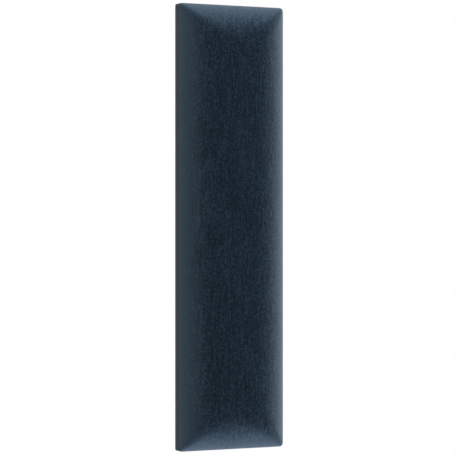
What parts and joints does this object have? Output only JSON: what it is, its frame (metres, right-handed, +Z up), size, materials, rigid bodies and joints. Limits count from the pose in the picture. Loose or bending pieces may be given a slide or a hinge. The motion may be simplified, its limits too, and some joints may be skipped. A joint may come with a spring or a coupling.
{
  "type": "padded wall panel",
  "caption": "Tall narrow fabric-covered wall pad with a crowned foam front on a flat board, hung on the wall by interlocking Z-clips.",
  "frame": {"origin": "on the wall plane, at the centre of the four wall screw holes, level with the middle of the pad's width and height", "axes": "+Z up along the pad's height; +Y into the wall, out of the clips' backs; -Y is the padded front; +X to the right for someone who faces the pad"},
  "size_m": [0.15, 0.0423, 0.6],
  "materials": {
    "board_fibre": "raw fibreboard, matte",
    "firm_foam": "closed-cell foam, matte",
    "soft_foam": "open-cell foam, matte",
    "wadding": "fluffy polyester, matte",
    "navy_velour": "slub-weave velour, soft sheen",
    "staple_steel": "galvanised wire",
    "dust_cloth": "spun-bonded cloth, matte",
    "clip_aluminium": "mill finish, satin",
    "screw_zinc": "bright zinc plate",
    "bumper_rubber": "matte rubber"
  },
  "bodies": {
    "wall_clips": {"upper_wall_clip": "clip_aluminium", "lower_wall_clip": "clip_aluminium"},
    "pad": {"backing_board": "board_fibre", "foam_core": "firm_foam", "foam_topper": "soft_foam", "wadding_layer": "wadding", "fabric_cover": "navy_velour", "cover_staples": "staple_steel", "dust_cover": "dust_cloth", "dust_cover_staples": "staple_steel", "upper_panel_clip": "clip_aluminium", "lower_panel_clip": "clip_aluminium", "panel_clip_screws": "screw_zinc", "upper_left_bumper": "bumper_rubber", "upper_right_bumper": "bumper_rubber", "lower_left_bumper": "bumper_rubber", "lower_right_bumper": "bumper_rubber"}
  },
  "joints": [
    {"name": "pad_lift", "type": "slide", "parent": "wall_clips", "child": "pad", "axis": [0, 0, 1], "range_m": [0, 0.014]}
  ]
}
